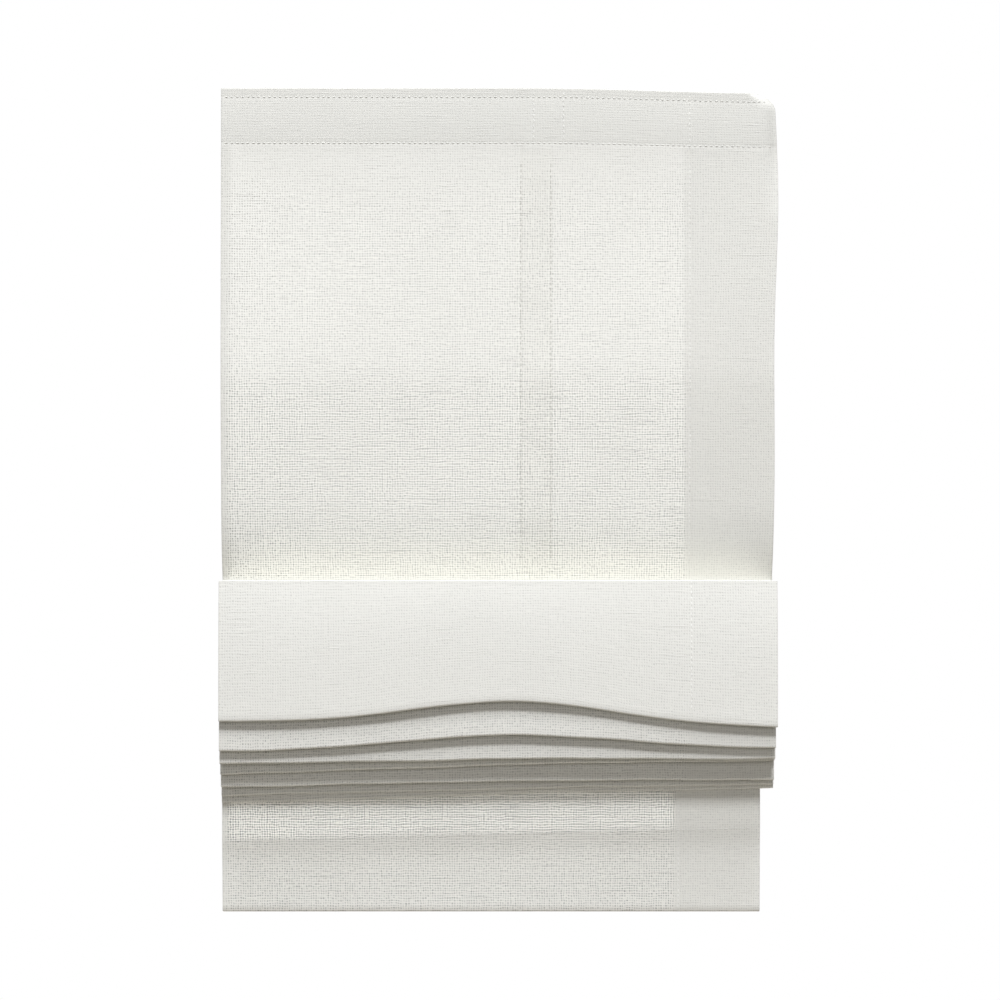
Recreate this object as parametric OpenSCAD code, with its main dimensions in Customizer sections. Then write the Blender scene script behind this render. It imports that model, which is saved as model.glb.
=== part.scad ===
// Raised roman blind: a linen cloth gathered into seven folds under a spring-lifted head rail.
// X runs along the rail, the front faces -Y, Z is up, and the wall is the plane Y = 0.

/* [Blind] */
// Width of the cloth
blind_w = 430; // [400:10:1200]
// Top edge of the heading above the line of the wall screws
head_top = 28; // [27:0.5:32]
// Heading's top edge down to the first fold
head_drop = 384; // [250:1:500]
// First fold down to the lower edge of the front flap, at mid width
flap_drop = 111; // [90:1:140]
// Last fold down to the bottom edge
tail_drop = 212; // [190:1:280]

/* [Cloth] */
// Thickness of one layer
cloth_t = 0.8; // [0.5:0.1:1]
// Extra thickness where the side hems and the heading are turned over
turnover_t = 0.8; // [0.5:0.1:1]
// Width of the right side hem
side_hem_w = 70; // [40:1:90]
// Width of the plain hem at the left edge
plain_hem_w = 15; // [10:1:30]
// Height of the bottom hem
bottom_hem_h = 58; // [45:1:80]
// Height of the turned-over heading
heading_h = 45; // [40:1:55]
// Free gap between the two layers of a fold at the side hems
fold_gap = 2; // [1:0.1:2.4]
// Free gap between one fold and the next
layer_gap = 1.6; // [0.8:0.1:2.4]
// Reach of the innermost fold in front of the rods
inner_reach = 8; // [7.5:0.1:14]
// Extra reach of the front flap over the folds behind it
flap_puff = 3; // [2:0.5:12]
// How far the hanging tail draws in from the right edge
tail_tuck = 10; // [0:1:15]

/* [Rods and tapes] */
// Diameter of the fold rods
rod_d = 4; // [3:0.5:5]
// Distance of the rod ends from the cloth's side edges
rod_inset = 10; // [5:1:30]
// Wall of the rod sleeves
sleeve_t = 0.6; // [0.4:0.1:1]
// Width of the back tape
tape_w = 25; // [18:1:30]
// Thickness of the back tape
tape_t = 0.4; // [0.3:0.05:0.5]
// Distance of the back tape and its lift cord from the cloth's right edge
cord_inset = 185; // [150:1:200]
// Wall of the ring clips
clip_wall = 1; // [0.8:0.1:1.4]
// Free gap between ring clips in the raised stack
clip_gap = 0.8; // [0.5:0.1:2]
// Height of the bottom bar
bar_h = 22; // [15:1:30]
// Thickness of the bottom bar
bar_t = 3; // [2:0.5:4]

/* [Head rail] */
// Distance of the rail's ends from the cloth's side edges
rail_inset = 15; // [10:1:30]
// Height of the rail
rail_h = 42; // [42:0.5:46]
// Depth of the rail
rail_d = 32; // [31:0.5:36]
// Wall of the rail
rail_wall = 1.5; // [1.2:0.1:1.8]
// Width of the lips along the open underside
lip_w = 3.5; // [2.5:0.1:4]
// Thickness of the end caps
cap_t = 3; // [2:0.5:4]
// Height of the hook and loop tapes, down from the rail's top edge
grip_h = 36; // [30:1:38]
// Thickness of each of the hook and loop tapes
grip_t = 1.2; // [1:0.1:1.6]

/* [Brackets] */
// Distance of each bracket from the rail's end
bracket_inset = 55; // [45:1:58]
// Width of a bracket
bracket_w = 26; // [20:1:30]
// Thickness of the wall plates
plate_t = 2; // [1.5:0.1:2.5]
// Diameter of the screw holes
screw_d = 5; // [4:0.1:6]
// Distance between a bracket's two screws
screw_spacing = 20; // [14:1:24]
// Room for screw heads behind the rail
screw_room = 3.5; // [3:0.1:5]

/* [Lift] */
// Diameter of the lift cord
cord_d = 1; // [0.8:0.1:1.2]
// Diameter of the spool's core
spool_d = 18; // [16:0.5:18]
// Length of cord winding on the spool
winding_l = 36; // [32:1:42]
// Height of the spool's flanges over the winding
flange_h = 1.5; // [1:0.1:1.5]
// Side of the square lift shaft
shaft_s = 5; // [4:0.1:5.5]
// Diameter of the spool and drum journals
journal_d = 10; // [9.5:0.1:11]
// Height of the lift shaft above the screw line
shaft_z = 5.5; // [5.3:0.1:6]
// Distance between the lift shaft and the spring's storage pin
spring_drop = 15; // [14.8:0.1:15.4]
// Distance of the spring case's middle from the rail's left end
spring_offset = 80; // [60:1:90]
// Length of the spring case
case_l = 60; // [50:1:64]
// Diameter of the storage pin
pin_d = 5; // [4:0.1:5.5]
// Diameter of the storage drum's core
storage_d = 9; // [8.5:0.1:9.5]
// Diameter of the output drum's core
output_d = 12; // [11.5:0.1:12.5]
// Diameter of both drums' flanges
drum_flange_d = 14.6; // [14.4:0.05:14.7]

/* [Hidden] */
$fn = 48;

// Clearances
overrun = 1;             // how far every cut runs past its wall
seat_gap = 0.1;          // between pieces that seat on one another
soft_gap = 0.3;          // between cloth and hard pieces
running_gap = 0.05;      // radial, in the bearings
end_play = 0.4;          // along the shaft
slide_gap = 0.2;         // inserts in the rail

// Places across the width
half_w = blind_w / 2;
cord_x = half_w - cord_inset;
rail_l = blind_w - 2 * rail_inset;
spring_x = spring_offset - rail_l / 2;
bracket_x = rail_l / 2 - bracket_inset;
hem_x = half_w - side_hem_w;
plain_hem_x = plain_hem_w - half_w;

// Head rail and its place
rail_back = -plate_t - screw_room;
rail_front = rail_back - rail_d;
rail_top = rail_h / 2;
rail_bottom = -rail_h / 2;
inner_back = rail_back - rail_wall;
inner_front = rail_front + rail_wall;
rib_t = 1.2;             // the rail's top rib that the brackets hook under
rib_lip = 3;
rib_share = 0.125;       // the rib's place across the rail, from its front
arm_t = 1.5;             // the brackets' top arm
rib_y = rail_front + rib_share * rail_d;
rib_z = rail_top + arm_t + slide_gap + seat_gap;

// Depths of the cloth
grip_front = rail_front - 2 * grip_t;
heading_y = grip_front - seat_gap - turnover_t - cloth_t / 2;
shaft_shift = 1.5;       // the shaft sits a little in front of the rail's middle
shaft_y = (inner_back + inner_front) / 2 - shaft_shift;
cord_y = shaft_y + (spool_d + cord_d) / 2;
rod_to_cord = 6.6;       // the lift cord runs close behind the rods
rod_r = rod_d / 2;
rod_y = cord_y - rod_to_cord;
apex_y = rod_y - rod_r - soft_gap - turnover_t - cloth_t / 2;

// Folds: rods stand one above another, and every fold hangs in front of them
folds = 7;
clip_r = rod_r + running_gap + clip_wall;
rod_pitch = 2 * clip_r + clip_gap;
apex_r = 2 * cloth_t;
bend_r = cloth_t / 2 + turnover_t + fold_gap / 2;
fold_step = 2 * bend_r + cloth_t + layer_gap;
corner_share = 0.43;     // shoulder radius against the reach of a fold
function rod_z(i) = head_top - head_drop - i * rod_pitch;
function reach(i) = inner_reach + (folds - i) * fold_step + (i == 1 ? flap_puff : 0);
// Lower edges of the folds against the flap's drop: at the left, added to the right, lifted near the cord
drop_shares = [0.984, 1.189, 1.282, 1.361, 1.452, 1.519, 1.576];
end_shares = [0.04, -0.021, -0.037, -0.101, -0.052, -0.081, -0.109];
lift_shares = [0.164, 0.103, 0.016, 0.016, 0.014, 0.005, 0.012];
lift_shift = 18;         // the folds rise highest a little inside of the cord
lift_spread = 80;
function run(x) = (x + half_w) / blind_w;
function lift_bump(x) = exp(-pow((x - cord_x + lift_shift) / lift_spread, 2) / 2);
function fold_share(i, x) =
    drop_shares[i - 1] + end_shares[i - 1] * run(x) - lift_shares[i - 1] * lift_bump(x);
function fold_z(i, x) = rod_z(0) - flap_drop * fold_share(i, x);

// Heading's right end, rounded and drooping
corner_w = 16;
corner_h = 14;
corner_zone = 32;
corner_mid_share = 0.44; // column inside the rounded corner
end_droop = 4;
droop_share = 0.56;      // where the droop starts along the width
hem_ramp = 2;            // half the width of the step at a hem's edge

// Tail and bottom hem
tail_end = rod_z(folds) - tail_drop;
hem_bend_r = bar_t / 2 + 2 * soft_gap + cloth_t / 2 + seat_gap;

function smooth(u) = let (v = max(0, min(1, u))) v * v * (3 - 2 * v);
// Points on an arc in the Y-Z plane, each with the direction of the cloth's back
function arc(cy, cz, r, a0, a1, n, side) =
    [for (k = [0:n]) let (a = a0 + (a1 - a0) * k / n)
        [cy + r * cos(a), cz + r * sin(a), side * cos(a), side * sin(a), 0, 0, 0]];
// A row holds: y, z, back direction y and z, turned over, depth below the top edge, share of the tuck
heading_shares = [0, 0.03, 0.09, 0.18, 0.31, 0.6, 1];
panel_shares = [0.02, 0.15, 0.3, 0.45, 0.58, 0.7, 0.8, 0.88, 0.95];
panel_curve = 4;         // the panel hangs straight above and leans back near the first fold
function panel_y(u) = heading_y + (apex_y - heading_y) * pow(u, panel_curve);
function panel_row(u) = let (
        h = head_drop - heading_h,
        slope = panel_curve * (apex_y - heading_y) * pow(u, panel_curve - 1) / h,
        n = sqrt(1 + slope * slope))
    [panel_y(u), head_top - heading_h - u * h, 1 / n, slope / n, 0, 0, 0];
function heading_rows() = [for (s = heading_shares)
    [heading_y, head_top - s * heading_h, 1, 0, 1, s, 0]];
function panel_rows() = [for (u = panel_shares) panel_row(u)];
function fold_rows(i, x) = let (
        yf = apex_y - reach(i),
        yb = yf + 2 * bend_r,
        rf = corner_share * reach(i),
        rb = corner_share * (reach(i) - 2 * bend_r),
        last = i == folds)
    concat(
        arc(yf + rf, rod_z(i - 1) - apex_r - rf, rf, 90, 180, 3, -1),
        arc(yf + bend_r, fold_z(i, x) + bend_r, bend_r, 180, 360, 4, -1),
        arc(yb + rb, rod_z(i) + apex_r - rb, rb, 180, 90, 3, 1),
        arc(apex_y - apex_r, rod_z(i), apex_r, 90, last ? 0 : -90, last ? 2 : 3, 1));
tail_shares = [0.1, 0.25, 0.45, 0.68];
hem_back_shares = [0.4, 0.8];
function tail_rows() = [for (s = tail_shares)
    [apex_y, rod_z(folds) - s * tail_drop, 1, 0, 0, 0, smooth(s / tail_shares[2])]];
function hem_rows() = [for (r = concat(
        arc(apex_y + hem_bend_r, tail_end + hem_bend_r, hem_bend_r, 180, 360, 4, -1),
        [for (s = hem_back_shares)
            [apex_y + 2 * hem_bend_r, tail_end + s * bottom_hem_h, -1, 0, 0, 0, 0]],
        [[apex_y + cloth_t + soft_gap, tail_end + bottom_hem_h, -1, 0, 0, 0, 0]]))
    [r[0], r[1], r[2], r[3], -1, 0, 1]];
function upper_rows(x) = concat(
    panel_rows(),
    arc(apex_y - apex_r, rod_z(0), apex_r, 0, -90, 3, 1),
    [for (i = [1:folds]) each fold_rows(i, x)]);
function cloth_rows(x) = concat(heading_rows(), upper_rows(x), tail_rows(), hem_rows());

// Columns across the cloth, closer at the hems' edges and the ends
inner_shares = [0.12, 0.24, 0.36, 0.47, 0.57, 0.67, 0.78, 0.89];
cols = concat(
    [-half_w, plain_hem_x - hem_ramp, plain_hem_x + hem_ramp],
    [for (s = inner_shares) plain_hem_x + s * (hem_x - plain_hem_x)],
    [hem_x - hem_ramp, hem_x + hem_ramp],
    [half_w - corner_zone, half_w - corner_mid_share * corner_zone, half_w]);

// Extra thickness on the back: the bottom hem is folded for real, so it takes none
function turned_over(x, row) = row[4] > 0 || x > hem_x || x < plain_hem_x;
function extra(x, row) = row[4] < 0 ? 0 : turned_over(x, row) ? turnover_t : 0;
function corner_pull(x, row) = let (
        d = row[5] * heading_h / corner_h,
        v = 1 - min(1, d),
        zone = smooth((x - half_w + corner_zone) / corner_zone))
    row[4] > 0 ? corner_w * zone * (1 - sqrt(1 - v * v)) : 0;
function droop(x, row) = row[4] > 0
    ? end_droop * (1 - row[5]) * smooth((run(x) - droop_share) / (1 - droop_share)) : 0;
function cloth_point(x, row, off) = [
    x - corner_pull(x, row) - tail_tuck * row[6] * run(x),
    row[0] + off * row[2],
    row[1] + off * row[3] - droop(x, row)];
// Grid of points over columns at the given places, each point set off towards the back
function grid(places, columns, offs) = [for (j = [0:len(columns[0]) - 1])
    [for (k = [0:len(places) - 1]) cloth_point(places[k], columns[k][j], offs[k][j])]];

// Closed skin over two grids of points, front and back, with n rows of m points each
module skin(front, back) {
    n = len(front);
    m = len(front[0]);
    points = concat([for (row = front) each row], [for (row = back) each row]);
    far = n * m;
    faces = concat(
        [for (j = [0:n - 2], k = [0:m - 2]) let (a = j * m + k)
            each [[a, a + 1, a + m + 1], [a, a + m + 1, a + m]]],
        [for (j = [0:n - 2], k = [0:m - 2]) let (a = far + j * m + k)
            each [[a, a + m + 1, a + 1], [a, a + m, a + m + 1]]],
        [for (j = [0:n - 2]) let (a = j * m, b = far + j * m)
            each [[a, a + m, b + m], [a, b + m, b]]],
        [for (j = [0:n - 2]) let (a = j * m + m - 1, b = far + j * m + m - 1)
            each [[a, b + m, a + m], [a, b, b + m]]],
        [for (k = [0:m - 2]) let (a = k, b = far + k)
            each [[a, b + 1, a + 1], [a, b, b + 1]]],
        [for (k = [0:m - 2]) let (a = (n - 1) * m + k, b = far + (n - 1) * m + k)
            each [[a, a + 1, b + 1], [a, b + 1, b]]]);
    polyhedron(points, faces);
}

module along_x(length) { rotate([90, 0, 90]) linear_extrude(length, center = true) children(); }
module rod_x(r, length) { rotate([0, 90, 0]) cylinder(r = r, h = length, center = true); }
module box_yz(y0, y1, z0, z1) {
    translate([min(y0, y1), min(z0, z1)]) square([abs(y1 - y0), abs(z1 - z0)]);
}
// The same box with round corners
module round_box(u0, u1, v0, v1, r) {
    box_yz(u0 + r, u1 - r, v0, v1);
    box_yz(u0, u1, v0 + r, v1 - r);
    for (u = [u0 + r, u1 - r], v = [v0 + r, v1 - r]) translate([u, v]) circle(r);
}

// Aluminium channel, open below, with a hooked rib on top for the brackets
module head_rail() {
    color("gainsboro") along_x(rail_l) {
        difference() {
            box_yz(rail_back, rail_front, rail_bottom, rail_top);
            box_yz(inner_back, inner_front, rail_bottom + rail_wall, rail_top - rail_wall);
            box_yz(inner_back - lip_w, inner_front + lip_w, rail_bottom - overrun, 0);
        }
        box_yz(rib_y, rib_y - rib_t, rail_top, rib_z + rib_t);
        box_yz(rib_y + rib_lip, rib_y - rib_t, rib_z, rib_z + rib_t);
    }
}

// Cap with round corners, and a hollow plug that slides into the rail
cap_plug = 6;
cap_r = 1.5;
plug_wall = 1.5;
module end_cap(side) {
    back = inner_back - slide_gap;
    front = inner_front + slide_gap;
    low = rail_bottom + rail_wall + slide_gap;
    high = rail_top - rail_wall - slide_gap;
    color("white") {
        translate([side * (rail_l + cap_t) / 2, 0, 0]) along_x(cap_t)
            round_box(rail_front, rail_back, rail_bottom, rail_top, cap_r);
        translate([side * (rail_l - cap_plug) / 2, 0, 0]) along_x(cap_plug) difference() {
            box_yz(back, front, low, high);
            box_yz(back - plug_wall, front + plug_wall, low + plug_wall, high - plug_wall);
        }
    }
}
module end_cap_left() { end_cap(-1); }
module end_cap_right() { end_cap(1); }

// Wall plate whose arm hooks under the rail's rib and whose tongue snaps in behind the lower lip
tongue_t = 1.5;
barb_h = 3;
pad_h = 4;
module wall_bracket(side) {
    lip_y = inner_back - lip_w - slide_gap;
    low = rail_bottom - seat_gap;
    color("whitesmoke") translate([side * bracket_x, 0, 0]) difference() {
        along_x(bracket_w) {
            box_yz(0, -plate_t, low - tongue_t, rail_top + seat_gap + arm_t);
            box_yz(0, rib_y + slide_gap, rail_top + seat_gap, rail_top + seat_gap + arm_t);
            box_yz(0, rail_back + seat_gap, rail_top, rail_top - pad_h);
            box_yz(0, rail_back + seat_gap, rail_bottom, rail_bottom + pad_h);
            box_yz(0, rail_back + seat_gap, rail_top, rail_top + seat_gap + arm_t);
            box_yz(0, rail_back + seat_gap, rail_bottom, low - tongue_t);
            box_yz(0, lip_y - tongue_t, low, low - tongue_t);
            box_yz(lip_y, lip_y - tongue_t, low - tongue_t, low - tongue_t + barb_h);
        }
        for (s = [-1, 1]) translate([0, 0, s * screw_spacing / 2]) rotate([90, 0, 0])
            cylinder(d = screw_d, h = 2 * (plate_t + overrun), center = true);
    }
}
module wall_bracket_left() { wall_bracket(-1); }
module wall_bracket_right() { wall_bracket(1); }

module grip_tape(y) { along_x(rail_l) box_yz(y, y - grip_t, rail_top - grip_h, rail_top); }
module hook_tape() { color("ivory") grip_tape(rail_front); }
module loop_tape() { color("white") grip_tape(rail_front - grip_t); }

// The cloth: one sheet from the heading through every fold to the turned-up bottom hem
module cloth() {
    columns = [for (x = cols) cloth_rows(x)];
    near = [for (c = columns) [for (row = c) -cloth_t / 2]];
    far = [for (k = [0:len(cols) - 1]) [for (row = columns[k]) cloth_t / 2 + extra(cols[k], row)]];
    color("linen") skin(grid(cols, columns, near), grid(cols, columns, far));
}

// Tape sewn down the back, through every fold as far as the last rod
module back_tape() {
    edges = [cord_x - tape_w / 2, cord_x + tape_w / 2];
    columns = [for (x = edges) upper_rows(x)];
    lift = cloth_t / 2 + seat_gap;
    near = [for (c = columns) [for (row = c) lift]];
    far = [for (c = columns) [for (row = c) lift + tape_t]];
    color("white") skin(grid(edges, columns, near), grid(edges, columns, far));
}

module rod(i) {
    color("silver") translate([0, rod_y, rod_z(i - 1)]) rod_x(rod_r, blind_w - 2 * rod_inset);
}

// Tubes of tape round a rod, sewn to the cloth by a flange and left open at the back tape
tape_margin = 3.5;
module rod_sleeve(i) {
    gap = tape_w / 2 + tape_margin;
    spans = [[plain_hem_x + 2 * hem_ramp, cord_x - gap], [cord_x + gap, hem_x - 2 * hem_ramp]];
    sleeve_r = rod_r + seat_gap + sleeve_t;
    cloth_back = apex_y + cloth_t / 2 + seat_gap;
    color("linen") for (s = spans)
        translate([(s[0] + s[1]) / 2, rod_y, rod_z(i - 1)]) difference() {
            union() {
                rod_x(sleeve_r, s[1] - s[0]);
                along_x(s[1] - s[0]) box_yz(0, cloth_back - rod_y, -sleeve_t, sleeve_t);
            }
            rod_x(rod_r + seat_gap, s[1] - s[0] + overrun);
        }
}

// Clips that snap on the rods and guide the lift cord, all alike
clip_w = 6;
eye_r = 3.2;
eye_t = 2.2;
eye_bore_r = 1.6;
clip_mouth_share = 0.7;  // mouth of the clip against its outer radius
module ring_clip() {
    difference() {
        union() {
            rod_x(clip_r, clip_w);
            translate([-eye_r / 2, 0, -eye_t / 2]) cube([eye_r, rod_to_cord, eye_t]);
            translate([0, rod_to_cord, 0]) cylinder(r = eye_r, h = eye_t, center = true);
        }
        rod_x(rod_r + running_gap, clip_w + overrun);
        along_x(clip_w + overrun)
            box_yz(0, -clip_r - overrun, -clip_mouth_share * clip_r, clip_mouth_share * clip_r);
        translate([0, rod_to_cord, 0]) cylinder(r = eye_bore_r, h = eye_t + overrun, center = true);
    }
}
module ring_clips() {
    color("white") for (i = [0:folds]) translate([cord_x, rod_y, rod_z(i)]) ring_clip();
}

// Flat bar in the bottom hem, with round corners so that it slides in
bar_inset = 12;
bar_corner_r = 4;
module bottom_bar() {
    foot = tail_end + hem_bend_r;
    color("silver") translate([0, apex_y + hem_bend_r, 0]) rotate([90, 0, 0])
        linear_extrude(bar_t, center = true)
            round_box(bar_inset - half_w, half_w - tail_tuck - bar_inset, foot, foot + bar_h, bar_corner_r);
}

// Lift cord: its turns on the spool, the taut drop through the rings and the knot under the last one
winding_t = cord_d;
knot_r = 1.8;
module lift_cord() {
    drop_end = rod_z(folds) - eye_t / 2 - soft_gap - knot_r;
    core = spool_d / 2;
    color("white") {
        translate([spool_x, shaft_y, shaft_z]) difference() {
            rod_x(core + winding_t, winding_l);
            rod_x(core, winding_l + overrun);
        }
        translate([cord_x, cord_y, drop_end]) cylinder(d = cord_d, h = shaft_z - drop_end);
        translate([cord_x, cord_y, drop_end]) sphere(r = knot_r);
    }
}

// Carriage that sits on the rail's lips: a floor and two end plates with bearings
plate_w = 3;
floor_t = 2;
insert_back = inner_back - slide_gap;
insert_front = inner_front + slide_gap;
insert_low = rail_bottom + rail_wall;
insert_high = rail_top - rail_wall - slide_gap;
module carriage(length) {
    difference() {
        union() {
            along_x(length) box_yz(insert_back, insert_front, insert_low, insert_low + floor_t);
            for (s = [-1, 1]) translate([s * (length - plate_w) / 2, 0, 0]) along_x(plate_w)
                box_yz(insert_back, insert_front, insert_low, insert_high);
        }
        translate([0, shaft_y, shaft_z]) rod_x(journal_d / 2 + running_gap, length + overrun);
    }
}

flange_t = 1.5;
spool_l = winding_l + 2 * (flange_t + seat_gap);
spool_x = cord_x - winding_l / 2 + cord_d;
cradle_l = spool_l + 2 * (plate_w + end_play);
cord_slot = 4;
module spool_cradle() {
    color("whitesmoke") difference() {
        translate([spool_x, 0, 0]) carriage(cradle_l);
        translate([cord_x, cord_y, insert_low])
            cylinder(d = cord_slot, h = 2 * (floor_t + overrun), center = true);
    }
}

// Spool or drum turned about X, with journals at both ends and a square bore for the shaft
module turned(core_r, rim_r, rim_t, length, journal) {
    half = length / 2;
    rotate([0, 90, 0]) rotate_extrude() polygon([
        [0, -half - journal], [journal_d / 2, -half - journal], [journal_d / 2, -half],
        [rim_r, -half], [rim_r, -half + rim_t], [core_r, -half + rim_t],
        [core_r, half - rim_t], [rim_r, half - rim_t], [rim_r, half],
        [journal_d / 2, half], [journal_d / 2, half + journal], [0, half + journal]]);
}
module square_bore(length) {
    s = shaft_s + 2 * seat_gap;
    cube([length, s, s], center = true);
}
module cord_spool() {
    journal = plate_w + end_play;
    color("white") translate([spool_x, shaft_y, shaft_z]) difference() {
        turned(spool_d / 2 - seat_gap, spool_d / 2 + winding_t + flange_h, flange_t, spool_l, journal);
        square_bore(spool_l + 2 * (journal + overrun));
    }
}

shaft_end = 4;
module lift_shaft() {
    start = spring_x - case_l / 2 - shaft_end;
    stop = spool_x + cradle_l / 2 + shaft_end;
    color("silver") translate([(start + stop) / 2, shaft_y, shaft_z])
        cube([stop - start, shaft_s, shaft_s], center = true);
}

// Spring lift: ribbon wound on a storage drum below and pulled over to the output drum on the shaft
pin_z = shaft_z - spring_drop;
case_wall = 2;
module spring_case() {
    color("dimgray") translate([spring_x, 0, 0]) difference() {
        union() {
            carriage(case_l);
            along_x(case_l) box_yz(insert_back, insert_back - case_wall, insert_low, insert_high);
        }
        translate([0, shaft_y, pin_z]) rod_x(pin_d / 2 + running_gap, case_l + overrun);
    }
}
drum_l = case_l - 2 * (plate_w + end_play);
drum_rim_t = 1.5;
module output_drum() {
    journal = plate_w + end_play;
    color("white") translate([spring_x, shaft_y, shaft_z]) difference() {
        turned(output_d / 2, drum_flange_d / 2, drum_rim_t, drum_l, journal);
        square_bore(drum_l + 2 * (journal + overrun));
    }
}
module storage_drum() {
    color("white") translate([spring_x, shaft_y, pin_z]) difference() {
        turned(storage_d / 2, drum_flange_d / 2, drum_rim_t, drum_l, 0);
        rod_x(pin_d / 2 + running_gap, drum_l + overrun);
    }
}
module storage_pin() { color("silver") translate([spring_x, shaft_y, pin_z]) rod_x(pin_d / 2, case_l); }
ribbon_t = 0.25;
ribbon_tuck = 0.1;       // the strand starts this far inside each coil
ribbon_turns_t = 2.2;    // depth of the turns on the storage drum
module spring_ribbon() {
    width = drum_l - 2 * (drum_rim_t + end_play);
    low_in = storage_d / 2 + seat_gap;
    low_r = low_in + ribbon_turns_t;
    high_in = output_d / 2 + seat_gap;
    high_r = high_in + 2 * ribbon_t;
    lean = asin((low_r + high_r - ribbon_t - 2 * ribbon_tuck) / spring_drop);
    color("slategray") translate([spring_x, shaft_y, pin_z]) along_x(width) {
        difference() {
            circle(low_r);
            circle(low_in);
        }
        translate([0, spring_drop]) difference() {
            circle(high_r);
            circle(high_in);
        }
        rotate(lean) translate([low_r - ribbon_t - ribbon_tuck, 0])
            square([ribbon_t, spring_drop * cos(lean)]);
    }
}

head_rail();
end_cap_left();
end_cap_right();
wall_bracket_left();
wall_bracket_right();
hook_tape();
loop_tape();
cloth();
back_tape();
for (i = [1:folds + 1]) rod(i);
for (i = [1:folds + 1]) rod_sleeve(i);
ring_clips();
bottom_bar();
lift_cord();
spool_cradle();
cord_spool();
lift_shaft();
spring_case();
output_drum();
storage_drum();
storage_pin();
spring_ribbon();
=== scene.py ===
import math
import bpy
import numpy as np
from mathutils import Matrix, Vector


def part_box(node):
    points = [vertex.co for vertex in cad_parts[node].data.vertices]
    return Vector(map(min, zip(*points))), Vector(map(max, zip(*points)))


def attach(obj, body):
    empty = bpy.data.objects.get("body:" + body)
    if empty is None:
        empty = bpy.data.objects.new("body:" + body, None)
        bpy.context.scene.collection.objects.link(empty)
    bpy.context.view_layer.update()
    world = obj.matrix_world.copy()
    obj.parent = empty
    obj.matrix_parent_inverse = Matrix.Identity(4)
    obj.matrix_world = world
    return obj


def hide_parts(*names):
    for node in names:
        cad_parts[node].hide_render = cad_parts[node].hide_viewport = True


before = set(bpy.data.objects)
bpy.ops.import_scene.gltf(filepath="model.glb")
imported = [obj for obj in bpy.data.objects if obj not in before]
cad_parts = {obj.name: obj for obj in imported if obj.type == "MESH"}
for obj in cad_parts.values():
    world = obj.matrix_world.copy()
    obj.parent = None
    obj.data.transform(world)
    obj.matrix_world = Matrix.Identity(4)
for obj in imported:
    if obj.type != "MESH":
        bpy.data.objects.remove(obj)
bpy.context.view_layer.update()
scene = bpy.context.scene
scene.view_settings.view_transform = "Standard"
mm = 0.001
metre = 1000  # in millimetres
print("frame loaded:", len(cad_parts), "nodes")


def linear(hexColour):  # sRGB hex to the linear values Blender works in
    parts = [int(hexColour[i:i + 2], 16) / 255 for i in (1, 3, 5)]
    return tuple(p / 12.92 if p <= 0.04045 else ((p + 0.055) / 1.055) ** 2.4 for p in parts) + (1.0,)


def addNode(tree, kind, inputs=None, **settings):  # a node, set and linked; gives its outputs
    made = tree.nodes.new("ShaderNode" + kind)
    for name, value in settings.items():
        setattr(made, name, value)
    for name, value in (inputs or {}).items():
        if isinstance(value, bpy.types.NodeSocket):
            tree.links.new(value, made.inputs[name])
        else:
            made.inputs[name].default_value = value
    return made.outputs


def calc(tree, operation, a, b=0.0, c=0.0, clamp=False):  # one sum between values
    return addNode(tree, "Math", {0: a, 1: b, 2: c}, operation=operation, use_clamp=clamp)[0]


def mapped(tree, value, source, target, clamp=True):  # a value moved from one range to another
    inputs = {0: value, 1: source[0], 2: source[1], 3: target[0], 4: target[1]}
    return addNode(tree, "MapRange", inputs, clamp=clamp)[0]


def stretched(tree, place, sizesMm):  # coordinates in which one unit is the given size
    scale = tuple(metre / size for size in sizesMm) + (1,) * (3 - len(sizesMm))
    return addNode(tree, "VectorMath", {0: place, 1: scale}, operation="MULTIPLY")[0]


def noise(tree, place, detail, scale=1.0, roughness=0.5):
    inputs = {"Vector": place, "Scale": scale, "Detail": detail, "Roughness": roughness}
    return addNode(tree, "TexNoise", inputs)


def tinted(tree, hexColour, shade):  # a colour made lighter or darker by a pattern
    inputs = {0: linear(hexColour)[:3], "Scale": shade}
    return addNode(tree, "VectorMath", inputs, operation="SCALE")[0]


def raised(tree, height, depthMm, strength):  # the slope of a fine relief
    inputs = {"Height": height, "Distance": depthMm * mm, "Strength": strength}
    return addNode(tree, "Bump", inputs)[0]


def newMaterial(name):
    made = bpy.data.materials.new(name)
    made.use_nodes = True
    made.node_tree.nodes.clear()
    return made, made.node_tree


def mmBox(name):  # a CAD node's corners in millimetres
    low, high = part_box(name)
    return np.array(low) / mm, np.array(high) / mm


def newPiece(name, points, faces, material, body="frame", uv=None, backed=None):
    mesh = bpy.data.meshes.new(name)
    mesh.from_pydata((np.asarray(points) * mm).tolist(), [], faces)
    if uv is not None:
        layer = mesh.uv_layers.new(name="threads")
        corners = np.empty(len(mesh.loops), dtype=np.int32)
        mesh.loops.foreach_get("vertex_index", corners)
        layer.data.foreach_set("uv", (np.asarray(uv) * mm)[corners].ravel().astype(np.float32))
    if backed is not None:  # how far another layer close behind fills the gaps of the weave, which lessens the painted shade in them
        values = mesh.attributes.new("backed", "FLOAT", "POINT").data
        values.foreach_set("value", np.asarray(backed, np.float32).ravel())
    mesh.polygons.foreach_set("use_smooth", [True] * len(mesh.polygons))
    mesh.materials.append(material)
    mesh.update()
    piece = bpy.data.objects.new(name, mesh)
    scene.collection.objects.link(piece)
    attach(piece, body)
    return piece


def smoothStep(t):
    t = np.clip(t, 0, 1)
    return t * t * (3 - 2 * t)


def bump(x, at, spread):
    return np.exp(-((x - at) / spread) ** 2 / 2)


def pairs(first, second):  # two coordinates side by side
    return np.stack(np.broadcast_arrays(first, second), axis=-1)


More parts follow.
